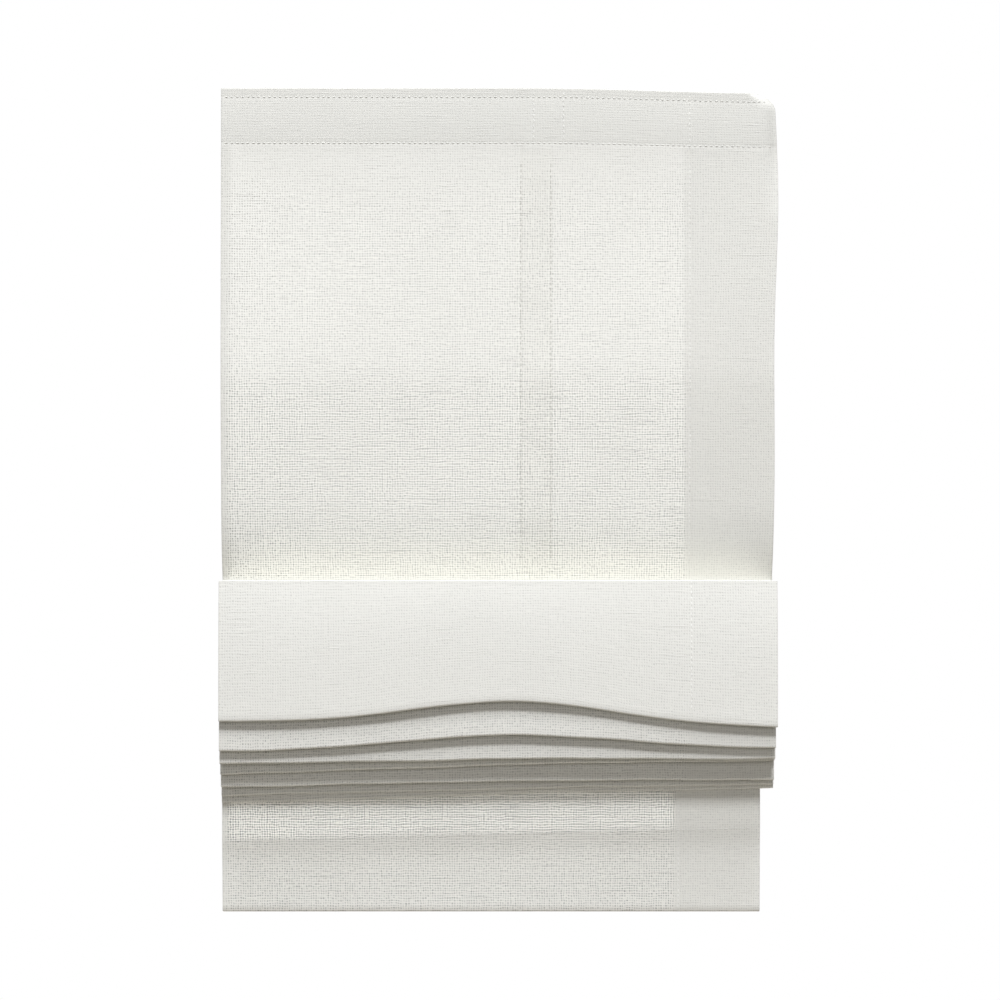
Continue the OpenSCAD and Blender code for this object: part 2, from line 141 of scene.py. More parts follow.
def gridFaces(rows, columns):
    corner = np.arange(rows * columns).reshape(rows, columns)
    faces = np.stack([corner[:-1, :-1], corner[1:, :-1], corner[1:, 1:], corner[:-1, 1:]], axis=-1)
    return faces.reshape(-1, 4).tolist()


def addGrid(made, points, uv):  # one more grid for a piece made of several
    base = sum(len(grid) for grid in made["points"])
    made["points"].append(points.reshape(-1, 3))
    made["faces"] += [[base + v for v in face] for face in gridFaces(*points.shape[:2])]
    made["uv"].append(uv.reshape(-1, 2))


# Linen cloth: loosely woven bleached flax, a dotted plain weave with long slubs, some light comes through
linenLook = {
    "face": "#E6E5DE",
    "through": "#EEEBE2",
    "throughShare": 0.10,
    "threadMm": 1.95,  # spacing of the yarns
    "wanderMm": (9, 9),  # the yarns leave their line over this length
    "wander": 1.1,  # by about this share of their spacing
    "tightMm": (2.4, 2.4),  # patches where the gaps close up or open
    "tight": (0.2, 1.8),
    "weftMm": (26, 1.0),  # length and height of uneven places in the weft, and in the warp
    "warpMm": (1.1, 30),
    "slubMm": (30, 1.1),  # length and height of the thick places in the weft
    "paleMm": (17, 1.3),  # and of the pale ones
    "fibreMm": (0.7, 0.7),
    "cloudMm": (120, 90),
    "weaveDepthMm": 0.14,
    "dots": (0.38, 0.06),  # depth of the painted shade in the weave's gaps where the cloth is single, and where it is backed
    "slubs": (0.24, 0.05),
    "pale": 0.05, "cloud": 0.05, "fibre": 0.06, "darkest": 0.2,
    "glow": 0.9,  # share of the shade that the light from behind keeps
}


def linenMaterial(name, look):
    material, tree = newMaterial(name)
    place = addNode(tree, "UVMap", uv_map="threads")["UV"]
    backed = addNode(tree, "Attribute", attribute_name="backed")["Fac"]
    thread = look["threadMm"] * mm

    def patches(sizesMm, detail, roughness=0.5):
        return noise(tree, stretched(tree, place, sizesMm), detail, roughness=roughness)

    def byBackingAndGapShade(pair):  # first value on a single layer, second on a backed one
        return mapped(tree, backed, (0.0, 1.0), pair, clamp=False)

    def between(position):  # one midway between two yarns, nought on their crowns
        wave = calc(tree, "COSINE", calc(tree, "MULTIPLY", position, 2 * math.pi / thread))
        return calc(tree, "MULTIPLY_ADD", wave, 0.5, 0.5)

    # Yarns wander a little, so the weave is never a perfect grid
    drift = patches(look["wanderMm"], 2.0)["Color"]
    shift = addNode(tree, "VectorMath", {0: drift, 1: (0.5, 0.5, 0.5)}, operation="SUBTRACT")[0]
    shift = addNode(tree, "VectorMath", {0: shift, "Scale": look["wander"] * thread}, operation="SCALE")
    moved = addNode(tree, "VectorMath", {0: place, 1: shift[0]}, operation="ADD")
    axes = addNode(tree, "SeparateXYZ", {0: moved[0]})
    uneven = mapped(tree, patches(look["tightMm"], 1.0)["Fac"], (0.3, 0.7), look["tight"])
    gaps = calc(tree, "MULTIPLY", between(axes["X"]), between(axes["Y"]))
    gaps = calc(tree, "MULTIPLY", gaps, uneven)

    # Uneven yarn: each weft pick and warp end is thicker in some places than in others
    weft = patches(look["weftMm"], 2.0, 0.6)["Fac"]
    warp = patches(look["warpMm"], 2.0, 0.6)["Fac"]
    slub = mapped(tree, patches(look["slubMm"], 1.0)["Fac"], (0.64, 0.74), (0.0, 1.0))
    pale = mapped(tree, patches(look["paleMm"], 1.0)["Fac"], (0.6, 0.75), (0.0, 1.0))
    fibre = patches(look["fibreMm"], 3.0)["Fac"]
    cloud = patches(look["cloudMm"], 2.0)["Fac"]
    yarn = calc(tree, "SUBTRACT", calc(tree, "MULTIPLY_ADD", warp, 0.7, weft), 0.85)  # about 0
    weave = calc(tree, "MULTIPLY_ADD", yarn, 0.6, calc(tree, "MULTIPLY_ADD", gaps, -1.6, 0.4))

    # Painted shade: yarn crowns are light, the gaps between them painted dark, darkest where nothing lies
    # behind
    shade = calc(tree, "MULTIPLY_ADD", weave, byBackingAndGapShade(look["dots"]), 1.0)
    shade = calc(tree, "SUBTRACT", shade, calc(tree, "MULTIPLY", slub, byBackingAndGapShade(look["slubs"])))
    shade = calc(tree, "MULTIPLY_ADD", pale, look["pale"], shade)
    shade = calc(tree, "MULTIPLY_ADD", calc(tree, "SUBTRACT", cloud, 0.5), look["cloud"], shade)
    shade = calc(tree, "MULTIPLY_ADD", calc(tree, "SUBTRACT", fibre, 0.5), look["fibre"], shade)
    shade = calc(tree, "MAXIMUM", shade, look["darkest"])
    glowing = calc(tree, "MULTIPLY", shade, look["glow"], clamp=True)  # gaps and thick places glow less

    height = calc(tree, "MULTIPLY_ADD", slub, 0.8, calc(tree, "MULTIPLY_ADD", gaps, -0.7, yarn))
    relief = raised(tree, height, look["weaveDepthMm"], 0.6)
    cloth = addNode(tree, "BsdfPrincipled", {
        "Base Color": tinted(tree, look["face"], shade), "Roughness": 0.9, "IOR": 1.45,
        "Specular IOR Level": 0.15, "Sheen Weight": 0.08, "Sheen Roughness": 0.5, "Normal": relief})
    through = tinted(tree, look["through"], glowing)
    glow = addNode(tree, "BsdfTranslucent", {"Color": through, "Normal": relief})
    mixed = addNode(tree, "MixShader", {0: look["throughShare"], 1: cloth[0], 2: glow[0]})
    addNode(tree, "OutputMaterial", {"Surface": mixed[0]})
    return material


linen = linenMaterial("linenPlainWeave", linenLook)
print("linen ready")

# The cloth, in millimetres: one sheet from the turned-over heading through seven folds to the bottom hem
clothLow, clothHigh = mmBox("cloth")
rodBoxes = [mmBox("rod_%d" % i) for i in range(1, 9)]
tapeLow, tapeHigh = mmBox("back_tape")
clothShape = {
    "half": clothHigh[0],
    "top": clothHigh[2],
    "foot": clothLow[2] + 0.4,
    "headingY": mmBox("loop_tape")[0][1] - 1.3,
    "rodZ": [(low[2] + high[2]) / 2 for low, high in rodBoxes],
    "apexY": (rodBoxes[0][0][1] + rodBoxes[0][1][1]) / 2 - 3.5,
    "tapeX": (tapeLow[0] + tapeHigh[0]) / 2,
    "sideHem": 70, "plainHem": 5,
    "hemRoll": 0.55,  # radius of the side hems' edges
    "sewnFromTape": 11.7,  # the tape's two rows of stitches, either side of its middle
    "sewnFromHem": 5,  # the side hem's row of stitches, outside of its inner edge
    "seed": 11,
    "columns": {  # places across where the cloth's points lie
        "step": 3.4,
        "bySewing": (-1.5, -0.7, 0, 0.7, 1.5), "byRightEdge": (2, 0.8, 0), "byLeftEdge": (0, 0.8, 2, 5, 10),
        "hem": (4, 15),  # the side hem's even columns end this far from its edge; their number
        "behindEdge": (0.8, 2.5), "behind": (7, 10), "roll": 6, "least": 0.25,
    },
    "heading": {
        "height": 45,
        "stitches": (7, 43),  # the two rows, below the top edge
        "behind": 0.8,  # the turned-over layer
        "turn": 0.7,  # radius of the top edge
        "flatFrom": 1.6, "front": 0.5,
        "lean": 0.026,  # forward for every millimetre down
        "roll": 0.3,  # soft roll between the two rows
        "uneven": (0.25, 60),  # share and reach of its wave
        "dip": 0.1,  # at the stitches
    },
    "panel": {
        "front": 1.6,
        "leanDegrees": (  # share of the way down, and lean towards the wall
            (0, 0), (0.06, -0.6), (0.3, -1), (0.5, 0), (0.56, 3), (0.82, 6), (0.9, 12), (0.96, 24), (1, 28)),
        "ripples": ((0.7, 88, 1.2, 0), (0.4, 47, 0, 4)),  # height, reach, start and turn on the way down
    },
    "folds": {
        "innerReach": 4.5,  # how far the innermost fold stands in front of the rods
        "step": 7.3,  # each fold stands this much further out than the one behind it
        "drop": 111,  # measure for the shares below
        "dropShare": (0.984, 1.189, 1.282, 1.361, 1.452, 1.519, 1.576),  # each foot's drop at its left end
        "endShare": (0.04, -0.021, -0.037, -0.101, -0.052, -0.081, -0.109),  # what its right end adds
        "liftShare": (0.164, 0.103, 0.016, 0.016, 0.014, 0.005, 0.012),  # how far it is drawn up between
        "liftShift": -18, "liftSpread": 80,
        "footPush": (0, 3.2, 3.4, 1.4, 2.4, 1.6, 5),  # each fold's foot is pushed out by the cloth behind it
        "bend": 1.6,  # radius of the feet
        "apexRadius": 1.6,  # and of the turns at the rods
        "shoulder": 0.43,  # a shoulder's radius, as a share of the fold's reach
        "footReach": 34, "swingReach": 52,  # of the waves in the feet, up and down and to the front
    },
    "flap": {  # the front fold
        "forward": 0.5,  # stands out by this beyond the even step
        "tuck": 3,  # its shoulder stands back by this
        "flare": 5,  # its lower edge hangs this much further out than its shoulder
        "slope": -2,  # the cloth drops this much on its way out to the shoulder
        "round": 0.6, "footWave": 0.35, "swing": 0.8,
        "rows": (6, 14, 24),  # on the way out, round the shoulder and down the front
    },
    "fold": {  # the six folds behind it
        "forward": 0, "tuck": 0, "flare": 0, "slope": 0, "footWave": 0.5, "swing": 0.22, "rows": (3, 8, 11)},
    "tail": {
        "hem": 58,
        "hemTilt": 0.0245,  # the bottom hem is sewn a little deeper to the right
        "bend": 1.2,
        "barBack": mmBox("bottom_bar")[1][1],
        "barRoom": 1.8,  # the bottom hem passes behind its bar by this
        "tuck": 10,  # the right edge stands in from the stack's by this
        "tuckOver": 0.45,  # share of the way down where it gets there
        "swell": 6,  # the tail swells forward under the stack
        "rise": (0.64, 1.6),  # over this share of the way down; power of its curve
        "fade": (0.42, 1.2),  # and the same for the way back at the foot
        "seamAt": 0.728, "seamBulge": 1.6, "seamSpread": (0.06, 0.035),  # above and below the seam
        "lean": (0.7, 0.6, 0.3),  # forward by this, from and over these shares of the way down
        "billow": (0.9, 76, 2.0),  # height, reach and start of its wave
        "billowOver": (0.9, 0.2, 0.5),
        "seamGap": (1.1, 2.4),  # room behind the seam, and more for the side hems' layers
        "seamGapOver": 8,
        "closing": (0.42, 0.53),  # shares of the way up where the hem's back nears the face
    },
    "corner": {  # the heading's right corner
        "pull": (22, 30, 14),  # inward by this, within this width and height
        "pullFrom": 1.2, "droop": 4,
        "droopOver": (0.56, 0.44),  # from and over these shares of the width
        "droopLoss": (0.3, 50, 0.7),  # lost on the heading; below it over this height, at most this
        "curl": (4.5, 11, 1.3),  # back by this, within this width; power of its curve
        "curlEnd": (100, 50),
    },
    "bow": {"panel": (3.0, 92, 62), "wave": (0.6, 38), "flap": 1.0, "wide": 70},  # the right edge bows out
    "pinch": {"spread": 0.8, "depth": 0.26, "waves": ((0.12, 4.1), (0.1, 11.3))},  # sewn lines pull in
    "backed": {  # how much the layers behind fill the weave's gaps, which lessens their painted shade
        "heading": 1.0,
        "panel": 0.9,
        "panelShadeGain": ((0.45, 48, 50), (0.45, 208, 40)),  # painted shade in the weave's gaps deepens down the panel, standing in for slantwise light: backing drops by this, from and over these depths
        "flap": 0.9, "fold": 0.5,
        "tail": (-1.1, 1.3, 2.5),  # single layer, set below nought for deeper painted shade in the gaps; what the hem adds, and over which height
        "sideHem": 0.85, "edge": 1.5,
    },
}
waveMix = {"count": 4, "start": 6.28, "step": 0.83, "fade": 0.7, "size": 1.9}
wobble = np.random.default_rng(clothShape["seed"])


def softWave(x, reachMm):  # smooth irregular line of about unit height
    total = 0 * x
    for k in range(waveMix["count"]):
        turn = x / reachMm * (1 + waveMix["step"] * k) + wobble.uniform(0, waveMix["start"])
        total = total + np.sin(turn) / (1 + waveMix["fade"] * k)
    return total / waveMix["size"]


def sewnLines(shape):  # places across of the tape's two rows of stitches and the side hem's one
    tapeX, fromTape = shape["tapeX"], shape["sewnFromTape"]
    return tapeX - fromTape, tapeX + fromTape, shape["half"] - shape["sideHem"] + shape["sewnFromHem"]


def hemHeight(x, shape):  # of the bottom hem
    return shape["tail"]["hem"] + shape["tail"]["hemTilt"] * (x + shape["half"])


def overHems(x, shape, wider, over):  # at the right and the left side hem, rising to one over a width
    right = smoothStep((x - shape["half"] + shape["sideHem"] + wider) / over)
    left = smoothStep((-x - shape["half"] + shape["plainHem"] + wider) / over)
    return right, left


def clothColumns(shape):  # distances across the cut cloth, closer at the folded edges and the sewn lines
    columns = shape["columns"]
    half, turn = shape["half"], math.pi * shape["hemRoll"]
    left, right = -half + shape["plainHem"], half - shape["sideHem"]
    middle = np.linspace(left, right, int((right - left) / columns["step"]) + 1)
    fine = [at + d for at in sewnLines(shape) for d in columns["bySewing"]]
    evenEnd, evenCount = columns["hem"]
    rightHem = np.linspace(right, half - evenEnd, evenCount)[1:]
    rightEdge = half - np.array(columns["byRightEdge"])
    leftEdge = -half + np.array(columns["byLeftEdge"])
    rolled = half + turn * np.linspace(0, 1, columns["roll"])[1:]
    behindFrom, behindCount = columns["behind"]
    rightBack = [*columns["behindEdge"], *np.linspace(behindFrom, shape["sideHem"], behindCount)]
    leftBack = [*columns["behindEdge"], behindFrom, shape["plainHem"]]
    rightBack, leftBack = half + turn + np.array(rightBack), -(half + turn + np.array(leftBack))
    places = [leftBack, -rolled, leftEdge, middle, fine, rightHem, rightEdge, rolled, rightBack]
    places = np.sort(np.concatenate(places))
    keep = np.concatenate([[True], np.diff(places) > columns["least"]])
    return places[keep]


def foldOver(across, shape):  # place across the hung blind and set-off behind it, at the side hems
    half, roll = shape["half"], shape["hemRoll"]
    over = np.abs(across) - half
    turnLength = math.pi * roll
    angle = np.clip(over, 0, turnLength) / roll
    turning = over < turnLength
    folded = np.where(turning, half + roll * np.sin(angle), half - (over - turnLength))
    x = np.where(over <= 0, np.abs(across), folded)
    off = np.where(over <= 0, 0, np.where(turning, roll * (1 - np.cos(angle)), 2 * roll))
    return np.sign(across) * x, off


def clothPath(x, shape):  # rows down the cloth at every x: part name, y, z, share of the tail's tuck
    rows = []
    half, apexY, rodZ, top, headY = (shape[key] for key in ("half", "apexY", "rodZ", "top", "headingY"))
    heading, panel, folds, tail = (shape[key] for key in ("heading", "panel", "folds", "tail"))

    def put(part, y, z, tuck=0.0):
        rows.append((part, y + 0 * x, z + 0 * x, tuck))

    def arc(part, cy, cz, r, start, stop, count):
        for k in range(count + 1):
            a = math.radians(start + (stop - start) * k / count)
            put(part, cy + r * math.cos(a), cz + r * math.sin(a))

    # Heading: turned over behind, sewn twice, a soft roll between the two rows of stitches
    high, low = heading["stitches"]
    height, flatFrom, turn = heading["height"], heading["flatFrom"], heading["turn"]
    for s in np.linspace(height, flatFrom, 11):
        put("headingBack", headY + heading["behind"], top - s)
    arc("headingTop", headY + heading["behind"] - turn, top - turn, turn, 0, 180, 7)
    share, reach = heading["uneven"]
    plump = 1 + share * softWave(x, reach)
    downs = [np.linspace(flatFrom, high + 2.6, 10), np.linspace(high + 4.5, low - 3, 15),
             np.linspace(low - 1.8, height, 8)]
    for s in np.concatenate(downs):
        roll = math.sin(math.pi * min(1, max(0, (s - high) / (low - high))))
        dip = bump(s, high, 1.1) + 1.2 * bump(s, low, 1.2)
        front = heading["front"] + heading["lean"] * s + heading["roll"] * roll * plump - heading["dip"] * dip
        put("heading", headY - front, top - s)

    # Panel: comes forward a little, then leans back to the first rod below a faint pressed crease
    length = top - height - rodZ[0]
    startY = headY - panel["front"]
    downs = np.concatenate([np.linspace(0.008, 0.49, 30), np.linspace(0.505, 0.965, 40), [0.98, 0.99]])
    fine = np.linspace(0, 1, 400)
    slope = np.tan(np.radians(np.interp(fine, *zip(*panel["leanDegrees"])))) * length
    drift = np.concatenate([[0], np.cumsum((slope[1:] + slope[:-1]) / 2 * np.diff(fine))])
    drift = drift + (apexY - startY - drift[-1]) * fine
    for u in downs:
        ripple = sum(size * np.sin(x / reach + at + turn * u) for size, reach, at, turn in panel["ripples"])
        y = startY + np.interp(u, fine, drift) + math.sin(math.pi * u) * ripple
        put("panel", y, top - height - u * length)
    bend, apexR = folds["bend"], folds["apexRadius"]
    arc("waist", apexY - apexR, rodZ[0], apexR, 0, -90, 4)

    # Folds, from the front flap to the innermost
    run = (x + half) / (2 * half)
    lift = bump(x, shape["tapeX"] + folds["liftShift"], folds["liftSpread"])
    footKeys = ("dropShare", "endShare", "liftShare", "footPush")
    for i in range(1, 8):
        flap = i == 1
        fold = shape["flap" if flap else "fold"]
        shelfRows, shoulderRows, frontRows = fold["rows"]
        reach = folds["innerReach"] + (7 - i) * folds["step"] + fold["forward"] - fold["tuck"]
        drop, end, drawn, push = (folds[key][i - 1] for key in footKeys)
        footZ = rodZ[0] - folds["drop"] * (drop + end * run - drawn * lift)
        footZ = footZ + fold["footWave"] * softWave(x, folds["footReach"])
        swing = fold["swing"] * softWave(x, folds["swingReach"]) - fold["flare"] - push
        yFront = apexY - reach
        yBack = yFront + 2 * bend
        rFront = fold["round"] if flap else folds["shoulder"] * reach
        rBack = folds["shoulder"] * (reach - 2 * bend)
        zFront = rodZ[i - 1] - apexR - rFront - fold["slope"]
        zBack = rodZ[i] + apexR - rBack
        tip = math.degrees(math.atan2(fold["slope"], reach - rFront - apexR))
        fromY, fromZ = apexY - apexR, rodZ[i - 1] - apexR
        shelfY = yFront + rFront - rFront * math.sin(math.radians(tip))
        shelfZ = zFront + rFront * math.cos(math.radians(tip))
        for k in range(shelfRows):
            share = (k + 1) / (shelfRows + 1)
            put("shelf%d" % i, fromY + (shelfY - fromY) * share, fromZ + (shelfZ - fromZ) * share)
        arc("shoulder%d" % i, yFront + rFront, zFront, rFront, 90 + tip, 180, shoulderRows)
        for u in np.linspace(0, 1, frontRows)[1:-1]:
            z = zFront + (footZ + bend - zFront) * u
            put("front%d" % i, yFront + swing * (1 - (1 - u) ** 3 if flap else u), z)
        arc("foot%d" % i, yFront + bend + swing, footZ + bend, bend, 180, 360, 7)
        for u in np.linspace(0, 1, 7)[1:-1]:
            put("back%d" % i, yBack + swing * (1 - u), footZ + bend + (zBack - footZ - bend) * u)
        arc("turn%d" % i, yBack + rBack, zBack, rBack, 180, 90, 6)
        arc("apex%d" % i, apexY - apexR, rodZ[i], apexR, 90, 0 if i == 7 else -90, 5)

    # Tail and the bottom hem, turned up behind round the bar
    foot, tailBend, tailTop = shape["foot"], tail["bend"], rodZ[7]
    tailY, tailZ = [], []
    seamAt = tail["seamAt"] - tail["hemTilt"] * (x + half) / (tailTop - foot)

    def ridge(u):  # the tail swells, and the bottom hem's stiff seam stands forward
        riseOver, risePower = tail["rise"]
        fadeOver, fadePower = tail["fade"]
        rise = 1 - (1 - min(u / riseOver, 1)) ** risePower
        fade = min((1 - u) / fadeOver, 1) ** fadePower
        above, below = (bump(u, seamAt, spread) for spread in tail["seamSpread"])
        return tail["swell"] * rise * fade + tail["seamBulge"] * np.where(u < seamAt, above, below)

    def faceAt(z):  # the tail's face at a height, for every x
        k = np.clip(np.interp(-z, -np.array(tailZ), np.arange(len(tailZ))), 0, len(tailZ) - 1.001)
        low = k.astype(int)
        columns = np.arange(len(x))
        grid = np.array(tailY)
        return grid[low, columns] + (k - low) * (grid[low + 1, columns] - grid[low, columns])

    lean, leanFrom, leanOver = tail["lean"]
    size, reach, start = tail["billow"]
    billowEnd, billowFrom, billowOver = tail["billowOver"]
    for u in np.linspace(0, 1, 44)[1:]:
        z = tailTop + (foot + tailBend - tailTop) * u
        billow = size * np.sin(x / reach + start) * math.sin(math.pi * u * billowEnd)
        billow = billow * smoothStep((u - billowFrom) / billowOver)
        tailY.append(apexY - ridge(u) - lean * smoothStep((u - leanFrom) / leanOver) + billow)
        tailZ.append(z)
        put("tail", tailY[-1], z, smoothStep(u / tail["tuckOver"]))
    behindBar = tail["barBack"] + tail["barRoom"]
    hemHalf = (behindBar - tailY[-1]) / 2
    for k in range(1, 8):
        a = math.radians(180 + 180 * k / 7)
        put("hemTurn", tailY[-1] + hemHalf * (1 + math.cos(a)), foot + tailBend + tailBend * math.sin(a), 1.0)
    seamGap, hemGap = tail["seamGap"]
    sides = sum(overHems(x, shape, tail["seamGapOver"], tail["seamGapOver"]))
    sewnGap = seamGap + hemGap * np.clip(sides, 0, 1)
    closeFrom, closeOver = tail["closing"]
    for u in np.linspace(0, 1, 13)[1:]:
        z = foot + tailBend + (hemHeight(x, shape) - tailBend) * u
        sewn = smoothStep((u - closeFrom) / closeOver)
        put("hemBack", behindBar + (faceAt(z) + sewnGap - behindBar) * sewn, z, 1.0)
    return rows


def clothGrid(shape):  # points, back directions and thread coordinates, as rows of columns
    across = clothColumns(shape)
    x, off = foldOver(across, shape)
    rows = clothPath(x, shape)
    parts, y, z, tuck = (np.array(values) for values in zip(*rows))
    dy, dz = np.gradient(y, axis=0), np.gradient(z, axis=0)
    size = np.hypot(dy, dz)
    backY, backZ = -dz / size, dy / size
    middle = len(across) // 2
    length = np.concatenate([[0], np.cumsum(np.hypot(np.diff(y[:, middle]), np.diff(z[:, middle])))])

    half, height = shape["half"], shape["heading"]["height"]
    run = (x + half) / (2 * half)
    depth = shape["top"] - z
    fromEnd = half - x[None, :]
    headingPart = np.char.startswith(parts, "heading")[:, None]
    panelPart = (parts == "panel")[:, None]
    firstFold = np.char.endswith(parts, "1")[:, None]
    upper = headingPart | panelPart

    # The heading's right corner is rounded, droops and curls back round the rail's end
    corner = shape["corner"]
    pull, wide, high = corner["pull"]
    v = 1 - np.clip(np.maximum(depth, corner["pullFrom"]) / high, 0, 1)
    rounded = 1 - np.sqrt(np.clip(1 - v * v, 0, 1))
    pull = np.where(headingPart, pull * smoothStep(1 - fromEnd / wide) * rounded, 0)
    start, over = corner["droopOver"]
    droop = corner["droop"] * smoothStep((run - start) / over)[None, :]
    onHeading, below, most = corner["droopLoss"]
    kept = 1.0 - onHeading * depth / height - np.clip((depth - height) / below, 0, most)
    droop = np.where(upper, droop * np.clip(kept, 0, 1), 0)
    curl, wide, power = corner["curl"]
    curlEnd, curlOver = corner["curlEnd"]
    curl = curl * smoothStep(1 - fromEnd / wide) ** power
    curl = np.where(upper, curl * np.clip((curlEnd - depth) / curlOver, 0, 1), 0)

    # The right edge bows out a little on the way down
    out, at, spread = shape["bow"]["panel"]
    wave, reach = shape["bow"]["wave"]
    bow = np.where(upper, out * bump(depth, at, spread) + wave * np.sin(depth / reach),
                   np.where(firstFold, shape["bow"]["flap"], 0))
    bow = bow * smoothStep(1 - fromEnd / shape["bow"]["wide"])

    # Sewn lines pull the cloth in
    pinch = shape["pinch"]
    dimple = sum(np.where(off == 0, bump(x, at, pinch["spread"]), 0) for at in sewnLines(shape))
    sink = pinch["depth"] + sum(size * np.sin(length / reach) for size, reach in pinch["waves"])
    setBack = off[None, :] + np.where(panelPart, dimple[None, :] * sink[:, None], 0)
    xAll = x[None, :] + bow - pull - shape["tail"]["tuck"] * tuck[:, None] * run[None, :]
    points = np.stack([xAll, y + backY * setBack + curl, z + backZ * setBack - droop], axis=-1)
    back = np.stack([0 * backY, backY, backZ], axis=-1)
    threads = pairs(across[None, :], length[:, None])

    # Where other layers lie behind, which lessens the painted shade in the weave's gaps
    layers = shape["backed"]
    flapPart = np.isin(parts, ("waist", "shelf1", "shoulder1", "front1", "foot1"))[:, None]
    tailPart = (parts == "tail")[:, None]
    # Painted shade: the weave's gaps darken further down the panel
    deeperGapShade = sum(much * smoothStep((depth - start) / over) for much, start, over in layers["panelShadeGain"])
    backed = np.where(flapPart, layers["flap"], layers["fold"])
    backed = np.where(panelPart, layers["panel"] - deeperGapShade, backed)
    backed = np.where(headingPart, layers["heading"], backed)
    single, hemAdds, over = layers["tail"]
    hemTop = shape["foot"] + hemHeight(x, shape)[None, :]
    backed = np.where(tailPart, hemAdds * smoothStep((hemTop - z) / over) + single, backed)
    hemmed = np.maximum(*overHems(x, shape, 0, layers["edge"]))[None, :]
    backed = backed + np.maximum(layers["sideHem"] - backed, 0) * hemmed
    return parts, across, points, back, threads, backed


parts, across, clothPoints, clothBack, clothThreads, clothBackingAndGapShade = clothGrid(clothShape)
rowCount, columnCount = clothPoints.shape[:2]
cloth = newPiece("linen_cloth", clothPoints.reshape(-1, 3), gridFaces(rowCount, columnCount), linen,
                 uv=clothThreads.reshape(-1, 2), backed=clothBackingAndGapShade)
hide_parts("cloth")
triangles = 2 * (rowCount - 1) * (columnCount - 1)
print("cloth:", rowCount, "rows,", columnCount, "columns,", triangles, "triangles")


def onCloth(row, place):  # points and back directions at fractional rows and distances across
    column = np.interp(place, across, np.arange(columnCount))
    row, column = np.broadcast_arrays(np.asarray(row, float), column)
    r0 = np.clip(row.astype(int), 0, rowCount - 2)
    c0 = np.clip(column.astype(int), 0, columnCount - 2)
    fr, fc = (row - r0)[..., None], (column - c0)[..., None]

    def mixed(grid):
        return (grid[r0, c0] * (1 - fr) * (1 - fc) + grid[r0 + 1, c0] * fr * (1 - fc)
                + grid[r0, c0 + 1] * (1 - fr) * fc + grid[r0 + 1, c0 + 1] * fr * fc)

    return mixed(clothPoints), mixed(clothBack)


def rowsOf(name):  # row numbers of a part of the cloth
    return np.flatnonzero(parts == name)


def rowAtDepth(name, depth):  # fractional row of a part at a depth below the top edge, at mid width
    rows = rowsOf(name)
    z = clothShape["top"] - clothPoints[rows, columnCount // 2, 2]
    return np.interp(depth, z, rows)


# Cotton tape: a thin twill ribbon with woven pockets, seen through the cloth as a faint shadow
tapeLook = {
    "face": "#F1F0EB", "through": "#FBFAF5", "throughShare": 0.65, "ribMm": 1.4,
    "turnMm": 3.2,  # the herringbone turns after this width
    "ribShade": 0.035, "ribDepthMm": 0.12, "fuzzPerMetre": 900.0, "fuzz": 0.06, "shade": 0.95,
}


def cottonTapeMaterial(name, look):
    material, tree = newMaterial(name)
    place = addNode(tree, "UVMap", uv_map="threads")["UV"]
    axes = addNode(tree, "SeparateXYZ", {0: place})
    zigzag = calc(tree, "PINGPONG", axes["X"], look["turnMm"] * mm)
    slope = calc(tree, "ADD", zigzag, axes["Y"])
    ribs = calc(tree, "SINE", calc(tree, "MULTIPLY", slope, 2 * math.pi / (look["ribMm"] * mm)))
    fuzz = noise(tree, place, 3.0, scale=look["fuzzPerMetre"])["Fac"]
    # Painted shade: the ribs are lighter on their crowns and darker between them
    shade = calc(tree, "MULTIPLY_ADD", ribs, look["ribShade"], look["shade"])
    shade = calc(tree, "MULTIPLY_ADD", fuzz, look["fuzz"], shade)
    body = addNode(tree, "BsdfPrincipled", {
        "Base Color": tinted(tree, look["face"], shade), "Roughness": 0.85, "Specular IOR Level": 0.2,
        "Sheen Weight": 0.1, "Normal": raised(tree, ribs, look["ribDepthMm"], 0.6)})
    glow = addNode(tree, "BsdfTranslucent", {"Color": linear(look["through"])})
    mixed = addNode(tree, "MixShader", {0: look["throughShare"], 1: body[0], 2: glow[0]})
    addNode(tree, "OutputMaterial", {"Surface": mixed[0]})
    return material


pocketLook = {**tapeLook, "throughShare": 0.35}  # doubled tape lets less light by
cottonTape = cottonTapeMaterial("cottonHerringboneTape", tapeLook)
doubledTape = cottonTapeMaterial("doubledCottonTape", pocketLook)
tapeShape = {
    "width": tapeHigh[0] - tapeLow[0],
    "behind": 0.65, "columns": 9,
    "pocketDepths": (76, 97, 118, 169, 237, 275, 345),  # below the top edge
    "pocketHeight": 11, "pocketWidth": 19,
    "pocketLength": 13,  # of the loop's own tape
    "pocketGap": 0.25, "pocketStands": 0.9,
    "pocketArch": 0.7,  # power of its curve
    "pocketGrid": (9, 7),
}


def ribbonBehind(rows, width, columns, behind):  # a strip along the tape's line that follows the cloth's back
    centre = clothShape["tapeX"]
    places = np.linspace(centre - width / 2, centre + width / 2, columns)
    points, back = onCloth(np.asarray(rows, float)[:, None], places[None, :])
    return points + back * np.asarray(behind)[..., None]


tapeRows = np.arange(rowsOf("panel")[0], rowsOf("apex7")[-1] + 1)
tapeWidth, tapeColumns = tapeShape["width"], tapeShape["columns"]
tapePoints = ribbonBehind(tapeRows, tapeWidth, tapeColumns, tapeShape["behind"])
tapeUv = pairs(np.linspace(0, tapeWidth, tapeColumns)[None, :], clothThreads[tapeRows, 0, 1][:, None])
backTape = newPiece("cotton_back_tape", tapePoints.reshape(-1, 3), gridFaces(len(tapeRows), tapeColumns),
                    cottonTape, uv=tapeUv.reshape(-1, 2))
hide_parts("back_tape")

